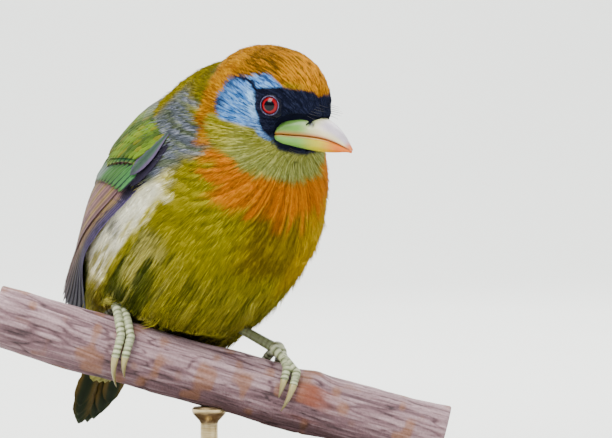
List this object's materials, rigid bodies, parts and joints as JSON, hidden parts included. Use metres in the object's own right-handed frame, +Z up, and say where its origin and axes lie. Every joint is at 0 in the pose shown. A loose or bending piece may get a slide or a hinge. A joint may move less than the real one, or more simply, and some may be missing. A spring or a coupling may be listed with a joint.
{
  "type": "perched barbet",
  "caption": "Plump perching bird, life size, with a thick pale bill, orange hood, blue cheeks, dark mask and green wings, gripping a short cut branch on a plain round stand.",
  "frame": {"origin": "middle of the underside of the whole, on the surface that the stand's base rests on", "axes": "+Z up; +X along the perch as seen from the front, from its high end to its low end; +Y away from the viewer; the bird's body faces +X and somewhat -Y"},
  "size_m": [0.133, 0.096, 0.1256],
  "materials": {
    "head_plumage": "soft matte feathers, orange hood with blue cheeks and a black mask",
    "neck_plumage": "soft matte feathers, orange band over olive yellow",
    "body_plumage": "soft matte feathers, yellow with olive and cream streaks",
    "wing_feathers": "smooth satin feathers, moss green with brown-violet flight feathers",
    "tail_feathers": "smooth satin feathers, dark green with a brown underside",
    "bill": "smooth horn, pale green at the base and yellow at the tip",
    "eye": "wet and clear, red iris and black pupil",
    "leg_skin": "dry scaly skin, pale grey green",
    "claw": "smooth horn, olive",
    "bark": "dry fibrous bark, mauve brown, with cut ends",
    "stand_wood": "dark satin wood",
    "stand_metal": "brushed, dull"
  },
  "bodies": {
    "root": {"head": "head_plumage", "neck": "neck_plumage", "torso": "body_plumage", "wing_right": "wing_feathers", "wing_left": "wing_feathers", "tail": "tail_feathers", "bill_upper": "bill", "bill_lower": "bill", "eye_right": "eye", "eye_left": "eye", "tarsus_right": "leg_skin", "tarsus_left": "leg_skin", "foot_right": "leg_skin", "foot_left": "leg_skin", "claw_right_1": "claw", "claw_right_2": "claw", "claw_right_3": "claw", "claw_right_4": "claw", "claw_left_1": "claw", "claw_left_2": "claw", "claw_left_3": "claw", "claw_left_4": "claw", "perch_branch": "bark", "stand_base": "stand_wood", "stand_rod": "stand_metal"}
  },
  "joints": []
}
